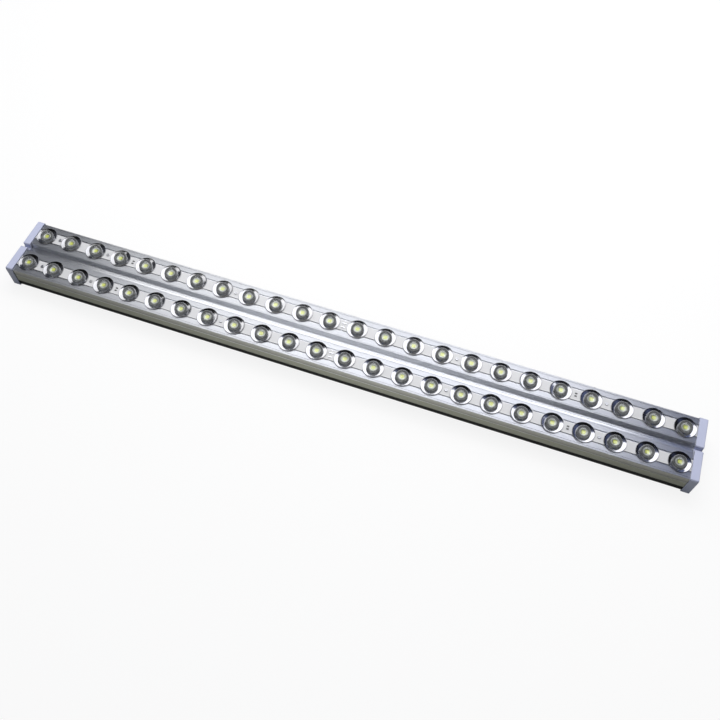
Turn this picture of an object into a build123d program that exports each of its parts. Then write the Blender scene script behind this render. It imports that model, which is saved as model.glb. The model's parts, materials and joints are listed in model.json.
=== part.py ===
from build123d import *
import os
from math import cos, sin, radians

# Twin-row LED light bar, 1 m long.
# Frame: +X along the bar, +Y from the front row to the rear row, +Z the way the light leaves.
# Origin: centre of the bar's length and width, on the plane the end caps rest on.
# All sizes in millimetres.

# ---------------------------------------------------------------- driving dimensions
bar_length = 1000.0          # over the two end caps
bar_width = 94.0             # over the end caps
bar_height = 38.0            # end caps, resting face to top
cap_plate = 3.0              # end wall of a cap
cap_skirt = 8.0              # how far a cap reaches over the profiles
gasket_thick = 1.0
cap_clear = 0.25             # clearance between cap pocket and profiles
notch_half = 2.6             # notch between the two lobes of a cap
notch_floor = 30.4

lamp_pitch = 41.15           # lamp to lamp along a row
lamps_per_row = 24
row_y = 25.7                 # each row's distance from the centre plane

profile_half = 45.8          # widest half width of the housing profile
deck_z = 36.0                # flat bands beside the boards
pocket_z = 34.8              # floor of the pockets the boards lie in
pocket_half = 10.3
gap_half = 6.2               # half width of the open channel between the rows
gap_floor = 29.2
wall = 2.2
housing_foot_z = 11.9        # lower edge of the outer walls

tray_half = 45.0
tray_bottom = 1.0
tray_plate = 2.0
tray_top = 10.9

board_width = 16.4
board_thick = 1.0
tape_thick = 0.2
board_gap = 0.6              # between the two boards of a row

port_y = 40.6                # screw ports for the end caps
port_zs = (30.4, 18.5)
port_r = 1.6

mount_x = 400.0              # threaded inserts in the tray
mount_y = 25.0
insert_bore_r = 2.5          # M6 tapping radius

# ---------------------------------------------------------------- derived
profile_length = bar_length - 2 * (cap_plate + gasket_thick)
end_x = profile_length / 2
board_z = pocket_z + tape_thick
board_top = board_z + board_thick
lamp_xs = [(i - (lamps_per_row - 1) / 2) * lamp_pitch for i in range(lamps_per_row)]
board_screw_us = (2.5, 7.5, 15.5, 20.5)
resistor_us = (3.5, 19.5)
lead_u = 0.55


def lamp_x(u):
    return (u - (lamps_per_row - 1) / 2) * lamp_pitch


def both(points):
    # a half section is mirrored about the centre plane and closed
    return points + [(-y, z) for y, z in reversed(points)]


os.makedirs("parts", exist_ok=True)


def save(name, part):
    part.label = name
    export_step(part, f"parts/{name}.step")


# ================================================================ housing profile
# Right half of the housing section, from the screw channel in the centre web outwards.
outer_side = [
    (45.8, housing_foot_z), (45.8, 24.3), (45.35, 24.6), (45.35, 25.1), (45.8, 25.4),
    (45.7, 31.0), (45.6, 35.2), (45.45, 35.7), (45.0, deck_z),
]
housing_half = [
    (1.7, 13.0), (1.7, 3.0), (4.0, 3.0), (4.0, gap_floor - wall), (gap_half + wall, gap_floor - wall),
    (gap_half + wall, 33.3), (13.4, 33.3), (13.4, 31.4), (38.0, 31.4), (38.0, 33.3), (43.6, 33.3),
    (43.6, 14.0), (41.2, 14.0), (41.2, 8.0), (42.9, 8.0), (42.9, housing_foot_z),
    *outer_side,
    (43.2, deck_z), (43.05, 35.6), (42.65, 35.6), (42.5, deck_z),
    (row_y + pocket_half, deck_z), (row_y + pocket_half, pocket_z),
    (row_y - pocket_half, pocket_z), (row_y - pocket_half, deck_z),
    (8.6, deck_z), (8.45, 35.7), (8.1, 35.7), (7.95, deck_z),
    (gap_half + 0.6, deck_z), (gap_half, 35.4),
    (gap_half, 33.4), (5.9, 33.1), (5.9, 32.7), (gap_half, 32.4),
    (gap_half, gap_floor + 0.4), (gap_half - 0.4, gap_floor),
    (0.5, gap_floor), (0.3, gap_floor - 0.5), (0.0, gap_floor - 0.5),
]
# the last point lies on the centre plane, so the mirrored half starts after it
housing_points = housing_half + [(-y, z) for y, z in reversed(housing_half[:-1])]

with BuildPart() as housing:
    with BuildSketch(Plane.YZ.offset(-end_x)):
        with BuildLine():
            Polyline(*housing_points, close=True)
        make_face()
        with Locations(*[(sy * port_y, z) for sy in (-1, 1) for z in port_zs]):
            Circle(3.2)
        with Locations(*[(sy * port_y, z) for sy in (-1, 1) for z in port_zs]):
            Circle(port_r, mode=Mode.SUBTRACT)
    extrude(amount=profile_length)
    # tapped holes for the board screws, wire holes under the board ends, and the lead hole through the web
    with Locations(*[(lamp_x(u), sy * row_y, pocket_z) for u in board_screw_us for sy in (-1, 1)]):
        Hole(radius=1.25, depth=5)
    with Locations(*[(lamp_x(lead_u), sy * row_y, pocket_z) for sy in (-1, 1)]):
        Hole(radius=3.0, depth=5)
    with BuildSketch(Plane.XZ.offset(6)):
        with Locations((-450.0, 17.3)):
            Circle(2.9)
    extrude(amount=-12, mode=Mode.SUBTRACT)
save("housing", housing.part)

# ================================================================ base tray
base_screw_xs = [i * 150.0 for i in range(-3, 4)]
driver_x = -328.0
driver_length = 104.0
driver_width = 27.0
driver_y = 25.0
driver_z = 9.0
driver_thick = 1.6
standoff_points = [
    (driver_x + sx * (driver_length / 2 - 4), sy * driver_y + ty * (driver_width / 2 - 4))
    for sy in (-1, 1) for sx in (-1, 1) for ty in (-1, 1)
]
tray_half_section = [
    (0.0, tray_bottom), (44.0, tray_bottom), (44.7, 1.3), (tray_half, 2.0),
    (tray_half, 5.6), (44.6, 5.9), (44.6, 6.5), (tray_half, 6.8),
    (tray_half, tray_top), (43.2, tray_top), (43.2, tray_bottom + tray_plate), (0.0, tray_bottom + tray_plate),
]
tray_points = tray_half_section + [(-y, z) for y, z in reversed(tray_half_section) if y > 0]
with BuildPart() as base_tray:
    with BuildSketch(Plane.YZ.offset(-end_x)):
        with BuildLine():
            Polyline(*tray_points, close=True)
        make_face()
    extrude(amount=profile_length)
    # countersunk holes along the centre line, opening downwards
    for x in base_screw_xs:
        with BuildSketch(Plane.XY.offset(tray_bottom - 0.01)):
            with Locations((x, 0)):
                Circle(4.0)
        with BuildSketch(Plane.XY.offset(tray_bottom + tray_plate + 0.01)):
            with Locations((x, 0)):
                Circle(2.1)
        loft(mode=Mode.SUBTRACT)
    with Locations(*[(sx * mount_x, sy * mount_y, tray_bottom + tray_plate) for sx in (-1, 1) for sy in (-1, 1)]):
        Hole(radius=4.55, depth=4)
    with Locations(*[(x, y, tray_bottom + tray_plate) for x, y in standoff_points]):
        Hole(radius=2.15, depth=4)
save("base_tray", base_tray.part)

# sealing cords between the tray's side walls and the housing's outer walls
with BuildPart() as base_seals:
    with BuildSketch(Plane.YZ.offset(-end_x)):
        with Locations((-44.05, (tray_top + housing_foot_z) / 2), (44.05, (tray_top + housing_foot_z) / 2)):
            RectangleRounded(1.7, housing_foot_z - tray_top - 0.04, 0.3)
    extrude(amount=profile_length)
save("base_seals", base_seals.part)

# ================================================================ end caps
# outline the profiles make together, which a cap's pocket clears all round
joined_half = [
    (0.0, tray_bottom), (44.7, tray_bottom), (45.8, 2.4), (45.8, 25.4), (45.6, 35.2), (45.45, 35.7), (45.0, deck_z),
    (gap_half + 0.6, deck_z), (gap_half, 35.4), (5.9, 33.4), (5.9, gap_floor), (0.0, gap_floor),
]
joined_points = joined_half + [(-y, z) for y, z in reversed(joined_half) if y > 0]
cap_half = [
    (0.0, 0.0), (bar_width / 2 - 1.0, 0.0), (bar_width / 2, 1.0), (bar_width / 2, 34.6),
    (bar_width / 2 - 0.5, 36.9), (bar_width / 2 - 1.7, bar_height),
    (notch_half + 1.0, bar_height), (notch_half, bar_height - 1.0), (notch_half, notch_floor + 1.0),
    (notch_half - 1.0, notch_floor), (0.0, notch_floor),
]
cap_points = cap_half + [(-y, z) for y, z in reversed(cap_half) if y > 0]
cap_screw_places = [(sy * port_y, z) for sy in (-1, 1) for z in port_zs]
socket_y = -25.0
socket_z = 17.3
socket_r = 6.0


def make_cap(side, socket):
    # side is -1 or +1; the end wall faces outwards along X
    outer = Plane(origin=(side * bar_length / 2, 0, 0), x_dir=(0, 1, 0), z_dir=(1, 0, 0))
    with BuildPart() as cap:
        with BuildSketch(outer) as outline:
            with BuildLine():
                Polyline(*cap_points, close=True)
            make_face()
        extrude(amount=-side * (cap_plate + cap_skirt))
        # soften the outer rim of the end wall
        rim = cap.faces().sort_by(Axis.X)[0 if side < 0 else -1].edges()
        fillet(rim, radius=1.0)
        inner = outer.offset(-side * cap_plate)
        with BuildSketch(inner):
            with BuildLine():
                Polyline(*joined_points, close=True)
            make_face()
            offset(amount=cap_clear, kind=Kind.INTERSECTION)
        extrude(amount=-side * cap_skirt, mode=Mode.SUBTRACT)
        with BuildSketch(outer):
            with Locations(*cap_screw_places):
                Circle(2.2)
            if socket:
                with Locations((socket_y, socket_z)):
                    Circle(socket_r + 0.1)
        extrude(amount=-side * cap_plate, mode=Mode.SUBTRACT)
        with BuildSketch(outer):
            with Locations(*cap_screw_places):
                Circle(4.0)
        extrude(amount=-side * 1.7, mode=Mode.SUBTRACT)
    return cap.part


end_cap_left = make_cap(-1, True)
save("end_cap_left", end_cap_left)
end_cap_right = make_cap(1, False)
save("end_cap_right", end_cap_right)


def make_gasket(side, socket):
    inner = Plane(origin=(side * (end_x + gasket_thick), 0, 0), x_dir=(0, 1, 0), z_dir=(1, 0, 0))
    with BuildPart() as gasket:
        with BuildSketch(inner):
            with BuildLine():
                Polyline(*joined_points, close=True)
            make_face()
            with Locations(*cap_screw_places):
                Circle(2.2, mode=Mode.SUBTRACT)
            with Locations((-25.0, 17.3), (25.0, 17.3)):
                RectangleRounded(24, 21, 4, mode=Mode.SUBTRACT)
        extrude(amount=-side * gasket_thick)
    return gasket.part


save("gasket_left", make_gasket(-1, True))
save("gasket_right", make_gasket(1, False))


# ================================================================ screws
def make_cap_screws():
    with BuildPart() as screws:
        for side in (-1, 1):
            head = Plane(origin=(side * (bar_length / 2 - 1.7), 0, 0), x_dir=(0, 1, 0), z_dir=(side, 0, 0))
            local = [(y, side * z) for y, z in cap_screw_places]
            with BuildSketch(head):
                with Locations(*local):
                    Circle(3.5)
            extrude(amount=1.6)
            with BuildSketch(head):
                with Locations(*local):
                    Circle(1.5)
            extrude(amount=-16)
            # soften the heads, then cut their recesses
            tops = screws.faces().sort_by(Axis.X)[0:4] if side < 0 else screws.faces().sort_by(Axis.X)[-4:]
            fillet(tops.edges(), radius=0.6)
            with BuildSketch(head.offset(1.6)):
                with Locations(*local):
                    Rectangle(3.6, 0.95)
                    Rectangle(0.95, 3.6)
            extrude(amount=-1.0, mode=Mode.SUBTRACT)
    return screws.part


save("cap_screws", make_cap_screws())

with BuildPart() as base_screws:
    for x in base_screw_xs:
        with BuildSketch(Plane.XY.offset(tray_bottom)):
            with Locations((x, 0)):
                Circle(3.85)
        with BuildSketch(Plane.XY.offset(tray_bottom + 1.95)):
            with Locations((x, 0)):
                Circle(1.65)
        loft()
        with BuildSketch(Plane.XY.offset(tray_bottom + 1.95)):
            with Locations((x, 0)):
                Circle(1.6)
        extrude(amount=8)
    with BuildSketch(Plane.XY.offset(tray_bottom)):
        with Locations(*[(x, 0) for x in base_screw_xs]):
            Rectangle(3.6, 0.95)
            Rectangle(0.95, 3.6)
    extrude(amount=1.1, mode=Mode.SUBTRACT)
save("base_screws", base_screws.part)

# threaded inserts: a thin flange under the tray, a collapsed collar above it, an open M6 bore
with BuildPart() as mounting_inserts:
    for sx in (-1, 1):
        for sy in (-1, 1):
            with BuildSketch(Plane(origin=(sx * mount_x, sy * mount_y, 0), x_dir=(1, 0, 0), z_dir=(0, -1, 0))):
                with BuildLine():
                    Polyline((insert_bore_r, 0), (5.6, 0), (6.1, 0.35), (6.1, 0.98), (4.5, 0.98), (4.5, 3.02),
                             (5.6, 3.02), (5.9, 4.0), (5.6, 5.6), (4.5, 6.0), (4.5, 13.0), (insert_bore_r, 13.0), close=True)
                make_face()
            revolve(axis=Axis((sx * mount_x, sy * mount_y, 0), (0, 0, 1)))
save("mounting_inserts", mounting_inserts.part)

# ================================================================ LED boards
half_row = lamps_per_row * lamp_pitch / 2
board_end = half_row - 1.2


def make_board(sx, sy, thick, z, width, wire_hole, screw_r, slot_r):
    low, high = (-board_end, -board_gap / 2) if sx < 0 else (board_gap / 2, board_end)
    mid = (low + high) / 2
    with BuildPart() as board:
        with BuildSketch(Plane.XY.offset(z)):
            with Locations((mid, sy * row_y)):
                RectangleRounded(high - low, width, 0.8)
            with Locations(*[(lamp_x(u), sy * row_y) for u in board_screw_us if low < lamp_x(u) < high]):
                Circle(screw_r, mode=Mode.SUBTRACT)
            if wire_hole and sx < 0:
                with Locations((lamp_x(lead_u), sy * row_y)):
                    Circle(slot_r, mode=Mode.SUBTRACT)
        extrude(amount=thick)
    return board.part


for sx, end in ((-1, "left"), (1, "right")):
    for sy, row in ((-1, "front"), (1, "rear")):
        save(f"led_board_{row}_{end}", make_board(sx, sy, board_thick, board_z, board_width, True, 1.6, 2.0))


def make_tapes():
    with BuildPart() as tapes:
        for sx in (-1, 1):
            for sy in (-1, 1):
                low, high = (-board_end, -board_gap / 2) if sx < 0 else (board_gap / 2, board_end)
                with BuildSketch(Plane.XY.offset(pocket_z)):
                    with Locations(((low + high) / 2, sy * row_y)):
                        Rectangle(high - low - 1.0, board_width - 1.0)
                    with Locations(*[(lamp_x(u), sy * row_y) for u in board_screw_us if low < lamp_x(u) < high]):
                        Circle(2.2, mode=Mode.SUBTRACT)
                    if sx < 0:
                        with Locations((lamp_x(lead_u), sy * row_y)):
                            Circle(3.1, mode=Mode.SUBTRACT)
                extrude(amount=tape_thick)
    return tapes.part


save("thermal_tapes", make_tapes())

# pan head screws holding the boards down
board_screw_places = [(lamp_x(u), sy * row_y) for u in board_screw_us for sy in (-1, 1)]
with BuildPart() as board_screws:
    with BuildSketch(Plane.XY.offset(board_top)):
        with Locations(*board_screw_places):
            Circle(2.4)
    extrude(amount=1.1)
    fillet(board_screws.faces().sort_by(Axis.Z)[-len(board_screw_places):].edges(), radius=0.45)
    with BuildSketch(Plane.XY.offset(board_top)):
        with Locations(*board_screw_places):
            Circle(1.2)
    extrude(amount=-4.5)
    with BuildSketch(Plane.XY.offset(board_top + 1.1)):
        with Locations(*board_screw_places):
            Rectangle(2.7, 0.7)
            Rectangle(0.7, 2.7)
    extrude(amount=-0.7, mode=Mode.SUBTRACT)
save("board_screws", board_screws.part)

# soldered links across the joint between the two boards of a row
with BuildPart() as board_links:
    with BuildSketch(Plane.XY.offset(board_top)):
        with Locations(*[(0, sy * row_y + ty) for sy in (-1, 1) for ty in (-3.2, 3.2)]):
            RectangleRounded(7.0, 1.8, 0.85)
    extrude(amount=0.55)
    fillet(board_links.faces().sort_by(Axis.Z)[-4:].edges(), radius=0.35)
save("board_links", board_links.part)

with BuildPart() as chip_resistors:
    with BuildSketch(Plane.XY.offset(board_top)):
        with Locations(*[(lamp_x(u), sy * row_y + ty) for u in resistor_us for sy in (-1, 1) for ty in (-2.0, 2.0)]):
            Rectangle(3.2, 1.6)
    extrude(amount=0.6)
save("chip_resistors", chip_resistors.part)

# ================================================================ lamps
led_base_r = 3.7             # round LED body, sits in the reflector's bore
led_base_top = board_top + 0.6
phosphor_size = 3.4
land_z = deck_z + 0.4        # inner land of the reflector, which the lens stands on
lens_centre_z = led_base_top + 0.2
dome_r = 9.4
cavity_r = 3.85              # shallow pocket in the lens that clears the LED
cavity_top = led_base_top + 0.3
ring_bore_r = 3.9
ring_r = 15.0
ring_top = 37.15
dish_r = 9.7                 # the dish rises from here to the rim

with BuildPart() as led_bases:
    with BuildSketch(Plane.XY.offset(board_top)):
        with Locations(*[(x, sy * row_y) for x in lamp_xs for sy in (-1, 1)]):
            Circle(led_base_r)
    extrude(amount=led_base_top - board_top)
    chamfer(led_bases.faces().group_by(Axis.Z)[-1].edges(), length=0.15)
save("led_packages", led_bases.part)

with BuildPart() as phosphors:
    with BuildSketch(Plane.XY.offset(led_base_top)):
        with Locations(*[(x, sy * row_y) for x in lamp_xs for sy in (-1, 1)]):
            RectangleRounded(phosphor_size, phosphor_size, 0.4)
    extrude(amount=0.15)
save("led_phosphors", phosphors.part)


def make_lens_row(sy):
    with BuildPart() as lens:
        with BuildSketch(Plane.XZ):
            with BuildLine():
                Line((cavity_r, land_z), (dome_r, land_z))
                Line((dome_r, land_z), (dome_r, lens_centre_z))
                CenterArc((0, lens_centre_z), dome_r, 0, 90)
                Line((0, lens_centre_z + dome_r), (0, cavity_top))
                Line((0, cavity_top), (cavity_r, cavity_top))
                Line((cavity_r, cavity_top), (cavity_r, land_z))
            make_face()
        revolve(axis=Axis.Z)
    one = lens.part
    with BuildPart() as row:
        with Locations(*[(x, sy * row_y, 0) for x in lamp_xs]):
            add(one)
    return row.part


def make_reflector_row(sy):
    # bright dish: a flat land under the lens, then a rise that steepens towards the rim
    rise = ring_top - land_z
    curve = [(dish_r + (14.4 - dish_r) * t / 4, land_z + rise * (0.6 * t / 4 + 0.4 * (t / 4) ** 2)) for t in range(5)]
    with BuildPart() as ring:
        with BuildSketch(Plane.XZ):
            with BuildLine():
                Polyline(curve[-1], (ring_r - 0.25, ring_top), (ring_r, ring_top - 0.25), (ring_r, deck_z + 0.35), (14.6, deck_z + 0.02),
                         (ring_bore_r, deck_z + 0.02), (ring_bore_r, land_z), curve[0])
                Polyline(*curve)
            make_face()
        revolve(axis=Axis.Z)
    one = ring.part
    with BuildPart() as row:
        with Locations(*[(x, sy * row_y, 0) for x in lamp_xs]):
            add(one)
    return row.part


for sy, row in ((-1, "front"), (1, "rear")):
    save(f"lenses_{row}", make_lens_row(sy))
    save(f"reflectors_{row}", make_reflector_row(sy))

# ================================================================ drivers inside the two chambers
for sy, row in ((-1, "front"), (1, "rear")):
    with BuildPart() as driver:
        with BuildSketch(Plane.XY.offset(driver_z)):
            with Locations((driver_x, sy * driver_y)):
                RectangleRounded(driver_length, driver_width, 1.5)
            with Locations(*[(x, y) for x, y in standoff_points if y * sy > 0]):
                Circle(1.6, mode=Mode.SUBTRACT)
        extrude(amount=driver_thick)
    save(f"driver_board_{row}", driver.part)

driver_top = driver_z + driver_thick
with BuildPart() as standoffs:
    with BuildSketch(Plane.XY.offset(tray_bottom + tray_plate)):
        with Locations(*standoff_points):
            RegularPolygon(radius=3.0, side_count=6)
    extrude(amount=driver_z - tray_bottom - tray_plate)
    with BuildSketch(Plane.XY.offset(tray_bottom + 0.1)):
        with Locations(*standoff_points):
            Circle(2.1)
    extrude(amount=2.0)
    with BuildSketch(Plane.XY.offset(driver_z)):
        with Locations(*standoff_points):
            Circle(1.25)
    extrude(amount=-5.0, mode=Mode.SUBTRACT)
save("driver_standoffs", standoffs.part)

with BuildPart() as driver_screws:
    with BuildSketch(Plane.XY.offset(driver_top)):
        with Locations(*standoff_points):
            Circle(2.7)
    extrude(amount=1.6)
    with BuildSketch(Plane.XY.offset(driver_top)):
        with Locations(*standoff_points):
            Circle(1.2)
    extrude(amount=-5.0)
    with BuildSketch(Plane.XY.offset(driver_top + 1.6)):
        with Locations(*standoff_points):
            Rectangle(3.0, 0.7)
            Rectangle(0.7, 3.0)
    extrude(amount=-0.8, mode=Mode.SUBTRACT)
save("driver_screws", driver_screws.part)

with BuildPart() as inductors:
    with BuildSketch(Plane.XY.offset(driver_top)):
        with Locations(*[(driver_x + dx, sy * driver_y) for dx in (-12, 8) for sy in (-1, 1)]):
            RectangleRounded(12.5, 12.5, 2.2)
    extrude(amount=7.5)
    with BuildSketch(Plane.XY.offset(driver_top + 7.5)):
        with Locations(*[(driver_x + dx, sy * driver_y) for dx in (-12, 8) for sy in (-1, 1)]):
            Circle(3.6)
    extrude(amount=-0.8, mode=Mode.SUBTRACT)
save("driver_inductors", inductors.part)

with BuildPart() as capacitors:
    with BuildSketch(Plane.XY.offset(driver_top)):
        with Locations(*[(driver_x + dx, sy * driver_y + sy * ty) for dx, ty in ((-31, -5.2), (-31, 6.2), (27, 0)) for sy in (-1, 1)]):
            Circle(5.0)
    extrude(amount=11.5)
    fillet(capacitors.faces().sort_by(Axis.Z)[-6:].edges(), radius=0.8)
save("driver_capacitors", capacitors.part)

with BuildPart() as chips:
    with BuildSketch(Plane.XY.offset(driver_top)):
        with Locations(*[(driver_x + dx, sy * driver_y + ty) for dx, ty in ((-22, 0.5), (18, 6), (18, -6)) for sy in (-1, 1)]):
            Rectangle(5.0, 4.0)
    extrude(amount=1.5)
save("driver_chips", chips.part)

# ================================================================ power socket in the left cap
socket_plane = Plane(origin=(-bar_length / 2, socket_y, socket_z), x_dir=(0, -1, 0), z_dir=(-1, 0, 0))
with BuildPart() as socket_shell:
    with BuildSketch(socket_plane):
        Circle(8.2)
    extrude(amount=1.8)
    fillet(socket_shell.faces().sort_by(Axis.X)[0].edges(), radius=0.6)
    with BuildSketch(socket_plane.offset(1.8)):
        Circle(socket_r)
    extrude(amount=5.2)
    with BuildSketch(socket_plane):
        Circle(socket_r)
    extrude(amount=-14.0)
    # two thread ridges the plug's collar screws onto
    for k in range(3):
        with BuildSketch(socket_plane.offset(2.6 + 1.4 * k)):
            Circle(6.35)
        extrude(amount=0.6)
    with BuildSketch(socket_plane.offset(7.0)):
        Circle(4.9)
    extrude(amount=-21.0, mode=Mode.SUBTRACT)
save("power_socket_shell", socket_shell.part)

with BuildPart() as socket_core:
    with BuildSketch(socket_plane.offset(1.0)):
        Circle(4.85)
        with Locations((-1.9, 0), (1.9, 0)):
            Circle(0.75, mode=Mode.SUBTRACT)
    extrude(amount=-14.0)
save("power_socket_core", socket_core.part)

with BuildPart() as socket_pins:
    with BuildSketch(socket_plane.offset(5.6)):
        with Locations((-1.9, 0), (1.9, 0)):
            Circle(0.7)
    extrude(amount=-21.0)
save("power_socket_pins", socket_pins.part)

with BuildPart() as socket_nut:
    with BuildSketch(socket_plane.offset(-cap_plate - gasket_thick + 0.9)):
        RegularPolygon(radius=8.6, side_count=6)
        Circle(socket_r + 0.05, mode=Mode.SUBTRACT)
    extrude(amount=-3.0)
save("power_socket_nut", socket_nut.part)

# ================================================================ wiring
# twin supply leads, socket to both drivers
pin_tail = -bar_length / 2 + 15.4
lead_r = 0.85


def make_wires(paths, radius):
    with BuildPart() as wires:
        for pts, start_dir, end_dir in paths:
            with BuildLine() as path:
                Spline(*pts, tangents=(start_dir, end_dir))
            with BuildSketch(Plane(origin=pts[0], z_dir=start_dir)):
                Circle(radius)
            sweep(path=path.line)
    return wires.part


d_in = driver_x - driver_length / 2 + 4
pad_z = driver_top + lead_r + 0.05
supply = [
    ([(pin_tail + 0.1, socket_y + ty, socket_z), (-460, socket_y + ty, 17.0), (-420, -26.5 + ty, 16.2), (-396, -27.5 + ty, 16.0),
      (d_in + 3.2, -28.4 + 0.75 * ty, pad_z)], (1, 0, 0), (1, 0, 0))
    for ty in (-1.9, 1.9)
]
save("supply_leads", make_wires(supply, lead_r))

# a second pair crosses to the rear driver through the hole in the centre web
cross = [
    ([(d_in + 3.4, -y0, pad_z), (-396, -y0 + 1.5, 15.8), (-425, -y0 + 4.0, 17.2), (x0 + 4.0, -12.5, 17.3), (x0, -6.5, 17.3), (x0, 0, 17.3), (x0, 6.5, 17.3),
      (x0 + 4.0, 12.5, 17.3), (-425, y0 - 4.0, 17.2), (-396, y0 - 1.5, 15.8), (d_in + 3.4, y0, pad_z)], (-1, 0, 0), (1, 0, 0))
    for y0, x0 in ((19.2, -448.9), (22.4, -451.1))
]
save("cross_leads", make_wires(cross, lead_r))

drop_x = lamp_x(lead_u)
with BuildPart() as lamp_leads:
    for sy in (-1, 1):
        for ty in (-0.95, 0.95):
            y = sy * row_y + ty
            with BuildLine() as path:
                FilletPolyline((drop_x, y, board_top + 0.35), (drop_x, y, 20.0), (-388, y, 20.0), (d_in + 7.0, y, driver_top + 1.2), radius=5)
            with BuildSketch(Plane(origin=(drop_x, y, board_top + 0.35), z_dir=(0, 0, -1))):
                Circle(0.7)
            sweep(path=path.line)
save("lamp_leads", lamp_leads.part)

with BuildPart() as solder_blobs:
    for sy in (-1, 1):
        with BuildSketch(Plane.XY.offset(board_top + 0.36)):
            with Locations((drop_x, sy * row_y)):
                Circle(2.6)
        extrude(amount=0.8)
    fillet(solder_blobs.faces().sort_by(Axis.Z)[-2:].edges(), radius=0.7)
save("solder_joints", solder_blobs.part)

# rubber grommets where the lamp leads pass the deck
with BuildPart() as grommets:
    for sy in (-1, 1):
        with BuildSketch(Plane.XY.offset(30.4)):
            with Locations((drop_x, sy * row_y)):
                Circle(4.2)
        extrude(amount=0.98)
        with BuildSketch(Plane.XY.offset(31.38)):
            with Locations((drop_x, sy * row_y)):
                Circle(2.95)
        extrude(amount=2.8)
        with BuildSketch(Plane.XY.offset(30.4)):
            with Locations((drop_x, sy * row_y)):
                Circle(1.95)
        extrude(amount=3.9, mode=Mode.SUBTRACT)
save("lead_grommets", grommets.part)
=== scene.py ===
import json
import math
import bpy
import bmesh
from mathutils import Vector, Matrix


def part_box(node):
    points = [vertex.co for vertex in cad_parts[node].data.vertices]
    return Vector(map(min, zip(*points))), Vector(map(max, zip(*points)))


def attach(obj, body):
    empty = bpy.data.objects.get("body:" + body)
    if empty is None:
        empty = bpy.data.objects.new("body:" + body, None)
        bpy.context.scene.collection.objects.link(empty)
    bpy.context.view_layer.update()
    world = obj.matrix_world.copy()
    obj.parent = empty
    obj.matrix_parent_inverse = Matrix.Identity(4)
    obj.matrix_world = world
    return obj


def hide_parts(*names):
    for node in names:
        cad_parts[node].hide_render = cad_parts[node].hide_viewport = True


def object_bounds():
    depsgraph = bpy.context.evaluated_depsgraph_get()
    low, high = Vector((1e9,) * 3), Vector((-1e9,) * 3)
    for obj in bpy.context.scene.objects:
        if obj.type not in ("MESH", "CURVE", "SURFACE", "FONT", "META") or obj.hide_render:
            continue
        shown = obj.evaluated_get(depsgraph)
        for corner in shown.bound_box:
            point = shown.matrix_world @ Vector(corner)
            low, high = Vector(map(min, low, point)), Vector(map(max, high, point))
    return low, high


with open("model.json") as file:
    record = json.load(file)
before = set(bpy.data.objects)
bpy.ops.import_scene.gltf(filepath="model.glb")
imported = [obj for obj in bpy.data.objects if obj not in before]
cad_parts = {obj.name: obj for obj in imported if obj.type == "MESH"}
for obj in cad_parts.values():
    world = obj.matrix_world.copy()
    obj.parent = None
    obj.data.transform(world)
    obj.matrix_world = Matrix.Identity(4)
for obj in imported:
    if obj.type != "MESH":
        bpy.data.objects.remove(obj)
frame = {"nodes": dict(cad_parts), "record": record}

cad_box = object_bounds()
MM = 0.001
scene = bpy.context.scene
nodes = frame["nodes"]


# ------------------------------------------------------------------ small helpers
def lo_hi(name):
    a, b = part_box(name)
    return Vector(a), Vector(b)


def new_object(name, bm, smooth=True):
    mesh = bpy.data.meshes.new(name)
    bmesh.ops.recalc_face_normals(bm, faces=bm.faces)
    bm.to_mesh(mesh)
    bm.free()
    if smooth:
        for p in mesh.polygons:
            p.use_smooth = True
    obj = bpy.data.objects.new(name, mesh)
    scene.collection.objects.link(obj)
    return obj


def spin(bm, profile, segments, centre):
    """Closed profile of (radius, height), turned about +Z at centre. Points on the axis become single vertices."""
    rings = []
    for r, z in profile:
        if r < 1e-9:
            rings.append([bm.verts.new((centre[0], centre[1], centre[2] + z))])
        else:
            rings.append([
                bm.verts.new((centre[0] + r * math.cos(2 * math.pi * k / segments),
                              centre[1] + r * math.sin(2 * math.pi * k / segments), centre[2] + z))
                for k in range(segments)
            ])
    n = len(rings)
    for i in range(n):
        a, b = rings[i], rings[(i + 1) % n]
        if len(a) == 1 and len(b) == 1:
            continue
        for k in range(segments):
            k2 = (k + 1) % segments
            if len(a) == 1:
                bm.faces.new((a[0], b[k2], b[k]))
            elif len(b) == 1:
                bm.faces.new((a[k], a[k2], b[0]))
            else:
                bm.faces.new((a[k], a[k2], b[k2], b[k]))


def sharp(obj, degrees):
    """Marks edges sharper than the angle, so smooth shading stops there."""
    mesh = obj.data
    bm = bmesh.new()
    bm.from_mesh(mesh)
    for e in bm.edges:
        if len(e.link_faces) == 2 and e.calc_face_angle(0) > math.radians(degrees):
            e.smooth = False
    bm.to_mesh(mesh)
    bm.free()


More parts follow.
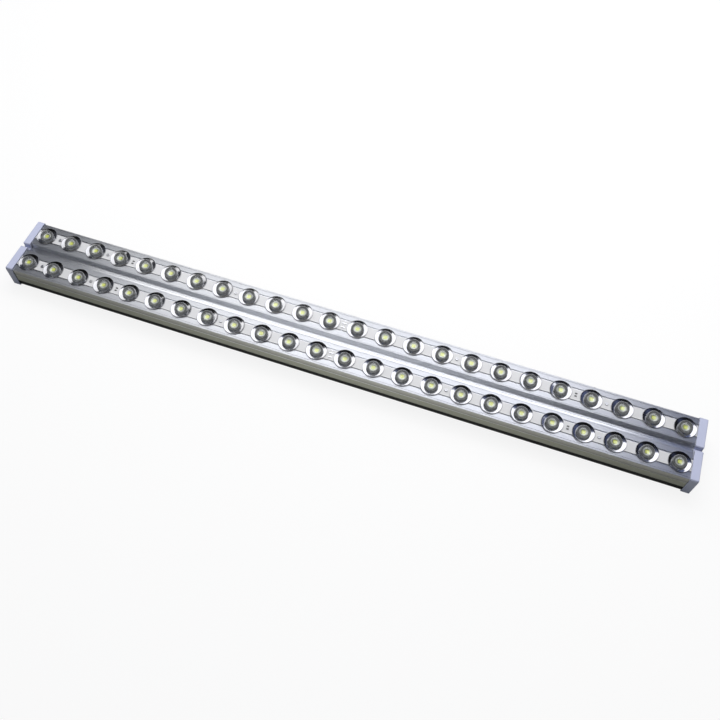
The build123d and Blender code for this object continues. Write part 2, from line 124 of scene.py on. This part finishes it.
# ------------------------------------------------------------------ materials
class Nodes:
    def __init__(self, name):
        self.mat = bpy.data.materials.new(name)
        self.mat.use_nodes = True
        self.t = self.mat.node_tree
        self.t.nodes.clear()
        self.out = self.t.nodes.new("ShaderNodeOutputMaterial")

    def add(self, kind, **inputs):
        n = self.t.nodes.new(kind)
        for k, v in inputs.items():
            self.set(n, k, v)
        return n

    def set(self, n, key, v):
        key = key.replace("_", " ")
        sock = None
        for s in n.inputs:
            if s.name.lower() == key.lower():
                sock = s
                break
        if sock is None:
            raise KeyError(f"{n.bl_idname} has no input {key}")
        if isinstance(v, bpy.types.NodeSocket):
            self.t.links.new(v, sock)
        else:
            if isinstance(v, (tuple, list)) and len(v) == 3 and len(sock.default_value) == 4:
                v = (*v, 1.0)
            sock.default_value = v

    def math(self, op, a, b=None, c=None, clamp=False):
        n = self.t.nodes.new("ShaderNodeMath")
        n.operation = op
        n.use_clamp = clamp
        for i, v in enumerate((a, b, c)):
            if v is None:
                continue
            if isinstance(v, bpy.types.NodeSocket):
                self.t.links.new(v, n.inputs[i])
            else:
                n.inputs[i].default_value = v
        return n.outputs[0]

    def mix(self, fac, a, b):
        n = self.t.nodes.new("ShaderNodeMix")
        n.data_type = "RGBA"
        n.clamp_factor = True
        for i, v in ((0, fac), (6, a), (7, b)):
            if isinstance(v, bpy.types.NodeSocket):
                self.t.links.new(v, n.inputs[i])
            elif i == 0:
                n.inputs[i].default_value = v
            else:
                n.inputs[i].default_value = (*v, 1.0) if len(v) == 3 else v
        return n.outputs[2]

    def ramp(self, fac, stops):
        n = self.t.nodes.new("ShaderNodeValToRGB")
        self.t.links.new(fac, n.inputs[0])
        el = n.color_ramp.elements
        while len(el) > 1:
            el.remove(el[-1])
        for i, (p, c) in enumerate(stops):
            e = el[0] if i == 0 else el.new(p)
            e.position = p
            e.color = (c, c, c, 1) if not isinstance(c, (tuple, list)) else (*c, 1)
        return n.outputs[0]

    def coords(self, sx, sy, sz, rot=None):
        geo = self.t.nodes.new("ShaderNodeTexCoord")
        m = self.t.nodes.new("ShaderNodeMapping")
        m.inputs["Scale"].default_value = (sx, sy, sz)
        if rot:
            m.inputs["Rotation"].default_value = rot
        self.t.links.new(geo.outputs["Object"], m.inputs["Vector"])
        return m.outputs[0]

    def xyz(self, what="Object"):
        geo = self.t.nodes.new("ShaderNodeTexCoord")
        s = self.t.nodes.new("ShaderNodeSeparateXYZ")
        self.t.links.new(geo.outputs[what], s.inputs[0])
        return s.outputs

    def normal(self):
        geo = self.t.nodes.new("ShaderNodeNewGeometry")
        s = self.t.nodes.new("ShaderNodeSeparateXYZ")
        self.t.links.new(geo.outputs["True Normal"], s.inputs[0])
        return s.outputs

    def noise(self, vector, scale, detail=3.0, rough=0.55):
        n = self.t.nodes.new("ShaderNodeTexNoise")
        self.t.links.new(vector, n.inputs["Vector"])
        n.inputs["Scale"].default_value = scale
        n.inputs["Detail"].default_value = detail
        n.inputs["Roughness"].default_value = rough
        return n.outputs["Fac"]

    def bump(self, height, distance, strength=1.0):
        n = self.t.nodes.new("ShaderNodeBump")
        n.inputs["Distance"].default_value = distance
        n.inputs["Strength"].default_value = strength
        self.t.links.new(height, n.inputs["Height"])
        return n.outputs[0]

    def principled(self, **inputs):
        n = self.add("ShaderNodeBsdfPrincipled", **inputs)
        return n.outputs[0]

    def finish(self, shader):
        self.t.links.new(shader, self.out.inputs["Surface"])
        return self.mat


def aluminium():
    m = Nodes("extruded_aluminium")
    n = m.normal()
    p = m.xyz()
    # die lines run the whole length of the profile
    lines = m.noise(m.coords(1.2, 900, 900), 1.0, 4.0, 0.65)
    broad = m.noise(m.coords(0.8, 160, 160), 1.0, 2.0, 0.5)
    cloud = m.noise(m.coords(5, 20, 20), 1.0, 3.0, 0.5)
    # outside and below pick out the side walls, which carry painted light further down
    outside = m.math("MULTIPLY", m.math("GREATER_THAN", m.math("ABSOLUTE", n[1]), 0.6), m.math("GREATER_THAN", m.math("ABSOLUTE", p[1]), 0.040))
    below = m.math("LESS_THAN", p[2], 0.0250)
    tone = m.ramp(lines, [(0.3, 0.96), (0.7, 1.0)])
    deck = m.mix(m.math("MULTIPLY", broad, 0.5), (0.91, 0.92, 0.945), (0.87, 0.885, 0.92))
    # painted shade: the deck colour darkens steadily from the front edge to the rear edge
    rear = m.math("MULTIPLY_ADD", p[1], 12.0, 0.5, clamp=True)
    deck = m.mix(rear, deck, m.mix(m.math("MULTIPLY", broad, 0.5), (0.75, 0.76, 0.78), (0.71, 0.725, 0.755)))
    # painted light: pocket floors and walls get a lighter tone than the shaded rear deck, lifting the shade in the
    # recesses
    deck = m.mix(m.math("LESS_THAN", p[2], 0.0354), deck, m.mix(broad, (0.88, 0.89, 0.91), (0.84, 0.85, 0.87)))
    # painted light on the side walls: painted shade makes them darker than the deck, a painted highlight lightens the
    # top strip, and the olive lower part is a painted reflection of the dark floor
    crown_painted_highlight = m.ramp(m.math("MULTIPLY", p[2], 10.0), [(0.27, 0.0), (0.34, 1.0)])
    upper_wall_shade_and_highlight = m.mix(crown_painted_highlight, m.mix(broad, (0.48, 0.48, 0.46), (0.43, 0.43, 0.41)), m.mix(broad, (0.66, 0.66, 0.65), (0.60, 0.60, 0.59)))
    lower = m.mix(broad, (0.61, 0.62, 0.55), (0.52, 0.53, 0.46))
    col = m.mix(outside, deck, m.mix(below, upper_wall_shade_and_highlight, lower))
    mult = m.add("ShaderNodeMix")
    mult.data_type = "RGBA"
    mult.blend_type = "MULTIPLY"
    mult.inputs[0].default_value = 1.0
    m.t.links.new(col, mult.inputs[6])
    m.t.links.new(tone, mult.inputs[7])
    rough = m.math("ADD", m.math("MULTIPLY", cloud, 0.05), m.math("MULTIPLY_ADD", lines, 0.06, 0.38))
    # the sunk faces are out of the brushes' reach and stay bright
    sunk = m.math("MULTIPLY", m.math("LESS_THAN", p[2], 0.0354), m.math("LESS_THAN", m.math("ABSOLUTE", p[1]), 0.040))
    rough = m.math("MULTIPLY", rough, m.math("MULTIPLY_ADD", sunk, -0.32, 1.0))
    b = m.bump(lines, 0.00002, 0.12)
    # the lines scatter light across the profile and keep it sharp along it
    geo = m.t.nodes.new("ShaderNodeNewGeometry")
    cross = m.t.nodes.new("ShaderNodeVectorMath")
    cross.operation = "CROSS_PRODUCT"
    m.t.links.new(geo.outputs["True Normal"], cross.inputs[0])
    cross.inputs[1].default_value = (1.0, 0.0, 0.0)
    return m.finish(m.principled(Base_Color=mult.outputs[2], Metallic=1.0, Roughness=rough, Anisotropic=0.8, Tangent=cross.outputs[0], Normal=b))


def board_mask():
    m = Nodes("board_white_mask")
    c = m.noise(m.coords(60, 60, 60), 1.0, 3.0)
    f = m.noise(m.coords(900, 900, 900), 1.0, 2.0)
    col = m.mix(c, (0.62, 0.62, 0.63), (0.55, 0.555, 0.565))
    rough = m.math("MULTIPLY_ADD", f, 0.15, 0.30)
    return m.finish(m.principled(Base_Color=col, Roughness=rough, Normal=m.bump(f, 0.00002, 0.3)))


def moulded(name, a, b, rough=0.45, scale=1500, depth=0.00002, strength=0.5, spec=0.5):
    m = Nodes(name)
    c = m.noise(m.coords(25, 25, 25), 1.0, 3.0)
    f = m.noise(m.coords(scale, scale, scale), 1.0, 2.0)
    col = m.mix(c, a, b)
    r = m.math("MULTIPLY_ADD", f, 0.12, rough - 0.06)
    s = m.principled(Base_Color=col, Roughness=r, Normal=m.bump(f, depth, strength))
    s.node.inputs["Specular IOR Level"].default_value = spec
    return m.finish(s)


def metal(name, a, b, rough=0.25, scale=600, stretch=None):
    m = Nodes(name)
    st = stretch or (scale, scale, scale)
    f = m.noise(m.coords(*st), 1.0, 3.0)
    col = m.mix(f, a, b)
    r = m.math("MULTIPLY_ADD", f, 0.12, rough - 0.05)
    return m.finish(m.principled(Base_Color=col, Metallic=1.0, Roughness=r, Normal=m.bump(f, 0.00002, 0.2)))


def clear_lens():
    m = Nodes("clear_lens")
    f = m.noise(m.coords(220, 220, 220), 1.0, 2.0)
    r = m.math("MULTIPLY_ADD", f, 0.01, 0.002)
    glass = m.add("ShaderNodeBsdfGlass", Color=(0.985, 0.99, 0.99), IOR=1.49, Roughness=r)
    m.t.links.new(m.bump(f, 0.00004, 0.15), glass.inputs["Normal"])
    clear = m.add("ShaderNodeBsdfTransparent", Color=(0.95, 0.96, 0.96))
    path = m.t.nodes.new("ShaderNodeLightPath")
    fac = m.math("MAXIMUM", path.outputs["Is Shadow Ray"], path.outputs["Is Diffuse Ray"])
    mixer = m.t.nodes.new("ShaderNodeMixShader")
    m.t.links.new(fac, mixer.inputs[0])
    m.t.links.new(glass.outputs[0], mixer.inputs[1])
    m.t.links.new(clear.outputs[0], mixer.inputs[2])
    return m.finish(mixer.outputs[0])


def lamp_radius(m, p):
    dx = m.math("PINGPONG", m.math("SUBTRACT", p[0], x_first), pitch / 2)
    dy = m.math("SUBTRACT", m.math("ABSOLUTE", p[1]), lamp_y)
    return m.math("SQRT", m.math("ADD", m.math("MULTIPLY", dx, dx), m.math("MULTIPLY", dy, dy)))


def reflector():
    """Bright plated dish; the land under the lens is left dull and carries painted rings of light and shade."""
    m = Nodes("reflector_chrome")
    r = lamp_radius(m, m.xyz())
    f = m.noise(m.coords(300, 300, 300), 1.0, 3.0)
    dull = m.math("LESS_THAN", r, lens_r + 0.0001)
    # painted light: light and dark rings on the land, ending in a dark outer band, stand in for the light the clear
    # dome bends and for its dark rim
    steps = m.ramp(m.math("MULTIPLY", r, 100.0), [(0.39, 0.16), (0.47, 0.22), (0.50, 0.06), (0.55, 0.09), (0.58, 0.20), (0.66, 0.16), (0.69, 0.05), (0.74, 0.10), (0.80, 0.025), (0.95, 0.02)])
    land = m.mix(f, steps, (0.08, 0.08, 0.08))
    col = m.mix(dull, m.mix(f, (0.42, 0.42, 0.43), (0.37, 0.37, 0.38)), land)
    rough = m.math("MULTIPLY_ADD", dull, 0.4, m.math("MULTIPLY_ADD", f, 0.10, 0.04))
    return m.finish(m.principled(Base_Color=col, Metallic=m.math("SUBTRACT", 1.0, m.math("MULTIPLY", dull, 0.9)), Roughness=rough, Normal=m.bump(f, 0.00002, 0.2)))


def led_body():
    """A round ceramic body: pale rim, dull metal floor, told apart by the distance to the nearest lamp's axis."""
    m = Nodes("led_ceramic")
    p = m.xyz()
    r = lamp_radius(m, p)
    f = m.noise(m.coords(900, 900, 900), 1.0, 3.0)
    rim = m.math("GREATER_THAN", r, 0.0029)
    floor_col = m.mix(f, (0.50, 0.52, 0.42), (0.38, 0.40, 0.31))
    rim_col = m.mix(f, (0.47, 0.48, 0.45), (0.38, 0.39, 0.36))
    rough = m.math("MULTIPLY_ADD", f, 0.12, 0.30)
    return m.finish(m.principled(Base_Color=m.mix(rim, floor_col, rim_col), Metallic=m.math("SUBTRACT", 1.0, m.math("MULTIPLY", rim, 0.85)), Roughness=rough, Normal=m.bump(f, 0.00002, 0.3)))


def phosphor():
    m = Nodes("led_phosphor")
    f = m.noise(m.coords(1800, 1800, 1800), 1.0, 3.0)
    col = m.mix(f, (0.56, 0.60, 0.10), (0.46, 0.50, 0.07))
    s = m.principled(Base_Color=col, Roughness=0.45, Coat_Weight=1.0, Coat_Roughness=0.18, Coat_IOR=2.0, Normal=m.bump(f, 0.00003, 0.5))
    # painted glow: a faint emission lifts the chips' brightness; the LEDs are not lit as lamps
    s.node.inputs["Emission Color"].default_value = (0.8, 0.9, 0.2, 1)
    s.node.inputs["Emission Strength"].default_value = 0.02
    return m.finish(s)


phos_lo, phos_hi = lo_hi("led_phosphors")
lens_lo, lens_hi = lo_hi("lenses_rear")
lamp_y = (lens_lo.y + lens_hi.y) / 2
lens_r = (lens_hi.y - lens_lo.y) / 2
count = 24
half_chip = 1.7 * MM
x_first = phos_lo.x + half_chip
pitch = (phos_hi.x - phos_lo.x - 2 * half_chip) / (count - 1)

M = {
    "housing_aluminium": aluminium(),
    "tray_black": moulded("tray_black", (0.018, 0.018, 0.016), (0.028, 0.028, 0.026), 0.35),
    "cap_plastic": moulded("cap_plastic", (0.46, 0.49, 0.64), (0.50, 0.53, 0.68), 0.42, 900),
    "seal_rubber": moulded("seal_rubber", (0.03, 0.03, 0.03), (0.05, 0.05, 0.05), 0.7),
    "board_white": board_mask(),
    "thermal_tape": moulded("thermal_tape", (0.70, 0.69, 0.62), (0.76, 0.75, 0.68), 0.7),
    "screw_steel": metal("screw_steel", (0.62, 0.62, 0.63), (0.50, 0.50, 0.52), 0.28),
    "zinc_steel": metal("zinc_steel", (0.66, 0.66, 0.62), (0.55, 0.56, 0.52), 0.33),
    "solder": metal("solder", (0.72, 0.72, 0.74), (0.60, 0.60, 0.62), 0.22, 1500),
    "resistor_black": moulded("resistor_black", (0.05, 0.05, 0.05), (0.08, 0.08, 0.08), 0.4),
    "led_ceramic": led_body(),
    "led_phosphor": phosphor(),
    "lens_clear": clear_lens(),
    "reflector_chrome": reflector(),
    "driver_green": moulded("driver_green", (0.02, 0.16, 0.06), (0.03, 0.20, 0.08), 0.35),
    "ferrite": moulded("ferrite", (0.06, 0.06, 0.065), (0.09, 0.09, 0.095), 0.6),
    "capacitor_sleeve": moulded("capacitor_sleeve", (0.03, 0.035, 0.05), (0.045, 0.05, 0.07), 0.3),
    "chip_black": moulded("chip_black", (0.02, 0.02, 0.02), (0.035, 0.035, 0.035), 0.5),
    "socket_black": moulded("socket_black", (0.02, 0.02, 0.022), (0.035, 0.035, 0.038), 0.45),
    "contact_brass": metal("contact_brass", (0.80, 0.60, 0.28), (0.70, 0.50, 0.22), 0.25),
    "wire_red": moulded("wire_red", (0.45, 0.02, 0.02), (0.38, 0.02, 0.02), 0.45),
    "wire_white": moulded("wire_white", (0.72, 0.72, 0.70), (0.66, 0.66, 0.64), 0.45),
}
slots = {s["node"]: s["material_slot"] for s in frame["record"]["subparts"]}
for name, obj in nodes.items():
    obj.data.materials.clear()
    obj.data.materials.append(M[slots[name]])
    for p in obj.data.polygons:
        p.material_index = 0

# ------------------------------------------------------------------ lamps
bond = Nodes("lens_bond")
haze = bond.noise(bond.coords(400, 400, 400), 1.0, 2.0)
lens_bond = bond.finish(bond.add("ShaderNodeBsdfTransparent", Color=bond.mix(haze, (0.97, 0.98, 0.98), (0.90, 0.91, 0.91))).outputs[0])


def row_pieces(row):
    llo, lhi = lo_hi(f"lenses_{row}")
    rlo, rhi = lo_hi(f"reflectors_{row}")
    y = (llo.y + lhi.y) / 2
    base, top = llo.z, lhi.z
    centre = phos_hi.z + 0.05 * MM
    dome_r = min(top - centre, (lhi.y - llo.y) / 2)
    xs = [x_first + i * pitch for i in range(count)]
    # lens: a solid clear dome, bonded over its LED with clear gel
    foot = centre - base
    prof = [(0.0, 0.0), (dome_r - 0.08 * MM, 0.0), (dome_r, 0.08 * MM)]
    for k in range(0, 32):
        a = math.radians(90 * k / 32)
        prof.append((dome_r * math.cos(a), foot + dome_r * math.sin(a)))
    prof.append((0.0, top - base))
    bm = bmesh.new()
    for x in xs:
        spin(bm, prof, 72, (x, y, base))
    lens = new_object(f"lens_row_{row}", bm)
    sharp(lens, 40)
    lens.data.materials.append(M["lens_clear"])
    lens.data.materials.append(lens_bond)
    for p in lens.data.polygons:
        if p.normal.z < -0.99:
            p.material_index = 1
    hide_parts(f"lenses_{row}")
    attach(lens, "root")
    # reflector: a land under the lens, then a dish that steepens up to a rolled lip
    r_out = (rhi.y - rlo.y) / 2
    bore = 3.9 * MM
    zb, zt = rlo.z, rhi.z
    land = base - 0.005 * MM - zb
    start = dome_r + 0.25 * MM
    lip = r_out - 0.75 * MM
    height = zt - zb
    dish = []
    steps = 18
    knee = lip - 0.9 * MM
    cone = 0.135
    for k in range(steps + 1):
        r = lip + (start - lip) * k / steps
        z = land + cone * (r - start)
        if r > knee:
            t = (r - knee) / (lip - knee)
            z = z + (height - 0.06 * MM - land - cone * (lip - start)) * t * t
        dish.append((r, z))
    roll = []
    cr = 0.42 * MM
    for k in range(0, 9):
        a = math.radians(0 + 112 * k / 8)
        roll.append((r_out - cr + cr * math.cos(a), height - cr + cr * math.sin(a)))
    prof = [(bore, 0.0), (r_out - 0.4 * MM, 0.0), (r_out - 0.1 * MM, 0.12 * MM), (r_out, 0.35 * MM)] + roll + dish + [(bore, land)]
    bm = bmesh.new()
    for x in xs:
        spin(bm, prof, 96, (x, y, zb))
    ring = new_object(f"reflector_row_{row}", bm)
    sharp(ring, 50)
    ring.data.materials.append(M["reflector_chrome"])
    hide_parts(f"reflectors_{row}")
    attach(ring, "root")


for row in ("front", "rear"):
    row_pieces(row)

# ------------------------------------------------------------------ stage, light and camera
floor_mesh = bpy.data.meshes.new("floor")
bm = bmesh.new()
for x, y in ((-8, -8), (8, -8), (8, 8), (-8, 8)):
    bm.verts.new((x, y, 0))
bm.faces.new(bm.verts)
bm.to_mesh(floor_mesh)
bm.free()
floor = bpy.data.objects.new("floor", floor_mesh)
scene.collection.objects.link(floor)
floor.location.z = cad_box[0][2] - 0.0005
fm = Nodes("floor_pale")
path = fm.t.nodes.new("ShaderNodeLightPath")
seen = fm.add("ShaderNodeEmission", Color=(1.0, 1.0, 1.0), Strength=0.985)
shade = fm.add("ShaderNodeBsdfDiffuse", Color=(0.9, 0.9, 0.9))
where = fm.xyz()
# what the metal reflects of the floor is painted: a painted pool of light under the middle of the bar that fades to
# both ends, and a painted dark olive shade along the bar's front
painted_shade_near_bar = fm.math("SMOOTH_MIN", fm.math("MULTIPLY_ADD", where[1], -8.0, 0.3, clamp=True), 1.0, 0.1)
painted_light_pool = fm.ramp(fm.math("MULTIPLY_ADD", where[0], 1.0, 0.5, clamp=True), [(0.0, 0.62), (0.25, 1.0), (0.42, 1.3), (0.56, 1.36), (0.75, 1.15), (1.0, 0.72)])
lit = fm.add("ShaderNodeMix")
lit.data_type = "RGBA"
lit.blend_type = "MULTIPLY"
lit.inputs[0].default_value = 1.0
fm.t.links.new(painted_light_pool, lit.inputs[6])
lit.inputs[7].default_value = (0.62, 0.62, 0.55, 1.0)
low = fm.add("ShaderNodeBsdfDiffuse", Color=fm.mix(painted_shade_near_bar, (0.20, 0.20, 0.19), lit.outputs[2]))
a = fm.t.nodes.new("ShaderNodeMixShader")
a.inputs[0].default_value = 0.12
fm.t.links.new(seen.outputs[0], a.inputs[1])
fm.t.links.new(shade.outputs[0], a.inputs[2])
b = fm.t.nodes.new("ShaderNodeMixShader")
fm.t.links.new(path.outputs["Is Camera Ray"], b.inputs[0])
fm.t.links.new(low.outputs[0], b.inputs[1])
fm.t.links.new(a.outputs[0], b.inputs[2])
floor_mesh.materials.append(fm.finish(b.outputs[0]))

# room: pale to the camera, dim and slightly blue in reflections, brighter from above for matte surfaces
world = bpy.data.worlds.new("room")
scene.world = world
world.use_nodes = True
wt = world.node_tree
wt.nodes.clear()
w_out = wt.nodes.new("ShaderNodeOutputWorld")
bg = wt.nodes.new("ShaderNodeBackground")
tc = wt.nodes.new("ShaderNodeTexCoord")
sep = wt.nodes.new("ShaderNodeSeparateXYZ")
wt.links.new(tc.outputs["Generated"], sep.inputs[0])
lp = wt.nodes.new("ShaderNodeLightPath")


def wmix(fac, a, b):
    n = wt.nodes.new("ShaderNodeMix")
    n.data_type = "RGBA"
    for i, v in ((0, fac), (6, a), (7, b)):
        if isinstance(v, bpy.types.NodeSocket):
            wt.links.new(v, n.inputs[i])
        elif i == 0:
            n.inputs[i].default_value = v
        else:
            n.inputs[i].default_value = (*v, 1)
    return n.outputs[2]


def wmap(v, a, b):
    n = wt.nodes.new("ShaderNodeMapRange")
    n.interpolation_type = "SMOOTHSTEP"
    wt.links.new(v, n.inputs["Value"])
    n.inputs["From Min"].default_value = a
    n.inputs["From Max"].default_value = b
    return n.outputs[0]


# directions as slopes from the vertical, where the dishes read them
up_z = wt.nodes.new("ShaderNodeMath")
up_z.operation = "MAXIMUM"
wt.links.new(sep.outputs[2], up_z.inputs[0])
up_z.inputs[1].default_value = 0.02


def slope(i):
    n = wt.nodes.new("ShaderNodeMath")
    n.operation = "DIVIDE"
    wt.links.new(sep.outputs[i], n.inputs[0])
    wt.links.new(up_z.outputs[0], n.inputs[1])
    return n.outputs[0]


sx, sy = slope(0), slope(1)
refl = wmix(wmap(sx, -0.8, 0.15), (0.08, 0.085, 0.10), (0.17, 0.21, 0.40))
refl = wmix(wmap(sy, 0.30, 0.45), (0.012, 0.012, 0.012), refl)
refl = wmix(wmap(sx, 0.32, 0.55), refl, (0.015, 0.015, 0.016))
off = wt.nodes.new("ShaderNodeMath")
off.operation = "ADD"
wt.links.new(sx, off.inputs[0])
off.inputs[1].default_value = 0.27
side = wt.nodes.new("ShaderNodeMath")
side.operation = "ABSOLUTE"
wt.links.new(off.outputs[0], side.inputs[0])
glow = wmix(wmap(side.outputs[0], 0.06, 0.44), (1.15, 1.19, 1.27), (0.03, 0.035, 0.045))
glow = wmix(wmap(sy, -1.6, -1.1), (0.03, 0.03, 0.03), glow)
refl = wmix(wmap(sy, -0.45, -0.30), glow, refl)
# pale low walls at both ends, so that the metal isn't black when seen along the bar
ends = wt.nodes.new("ShaderNodeMath")
ends.operation = "ABSOLUTE"
wt.links.new(sx, ends.inputs[0])
refl = wmix(wmap(ends.outputs[0], 1.3, 2.0), refl, (0.30, 0.31, 0.34))
matte = wmix(wmap(sep.outputs[2], 0.0, 0.7), (0.05, 0.05, 0.05), (0.30, 0.31, 0.34))
col = wmix(lp.outputs["Is Diffuse Ray"], refl, matte)
col = wmix(lp.outputs["Is Camera Ray"], col, (0.93, 0.93, 0.93))
wt.links.new(col, bg.inputs["Color"])
wt.links.new(bg.outputs[0], w_out.inputs["Surface"])


def area(name, loc, target, sx, sy, watts, colour=(1, 1, 1), glossy=True, diffuse=True, turn=0.0):
    d = bpy.data.lights.new(name, "AREA")
    d.shape = "RECTANGLE"
    d.size, d.size_y = sx, sy
    d.energy = watts
    d.color = colour
    o = bpy.data.objects.new(name, d)
    scene.collection.objects.link(o)
    o.location = loc
    o.rotation_euler = (Vector(target) - Vector(loc)).to_track_quat("-Z", "Y").to_euler()
    o.rotation_euler.rotate_axis("Z", math.radians(turn))
    o.visible_glossy = glossy
    o.visible_transmission = glossy
    o.visible_diffuse = diffuse
    o.visible_camera = False
    return o


# softbox the profile and rings mirror, and a wide overhead light for the matte surfaces
# radiance of an area light is watts / (pi * area)
turn = 4.0
ct, st = math.cos(math.radians(turn)), math.sin(math.radians(turn))
u = lambda x, y: ct * x + st * y
v0, v1 = st * 0.2 + ct * 0.40, st * 0.2 + ct * 1.5
for name, xa, xb, radiance in (("softbox_end", -1.02, -0.87, 1.8), ("softbox_fade", -0.87, -0.67, 2.1), ("softbox", -0.67, 0.615, 2.65)):
    ua, ub = u(xa, 0.63), u(xb, 0.63)
    uc, vc = (ua + ub) / 2, (v0 + v1) / 2
    cx, cy = ct * uc - st * vc, st * uc + ct * vc
    area(name, (cx, cy, 1.05), (cx, cy, 0.0), ub - ua, v1 - v0, (ub - ua) * (v1 - v0) * math.pi * radiance, turn=turn)
area("overhead", (0.0, 0.5, 1.3), (0.0, 0.0, 0.0), 1.2, 0.8, 13.1, (1.0, 0.985, 0.97), glossy=False)

cam_data = bpy.data.cameras.new("camera")
cam = bpy.data.objects.new("camera", cam_data)
scene.collection.objects.link(cam)
cam_data.sensor_width = 36.0
cam_data.lens = 36.0 * 812.77 / 720.0
cam_data.clip_start = 0.01
cam_data.clip_end = 50
right = Vector((0.942109, 0.335308, 0.000273)).normalized()
back = -Vector((-0.171602, 0.482846, -0.858727)).normalized()
up = back.cross(right).normalized()
right = up.cross(back).normalized()
rot = Matrix((right, up, back)).transposed().to_4x4()
cam.matrix_world = Matrix.Translation((0.23086, -0.55502, 0.98784)) @ rot
scene.camera = cam
scene.view_settings.view_transform = "Standard"
scene.view_settings.look = "None"
scene.cycles.max_bounces = 14
scene.cycles.transmission_bounces = 12
scene.cycles.transparent_max_bounces = 16
scene.cycles.glossy_bounces = 6
scene.cycles.caustics_reflective = False
scene.cycles.caustics_refractive = False

bpy.context.view_layer.update()
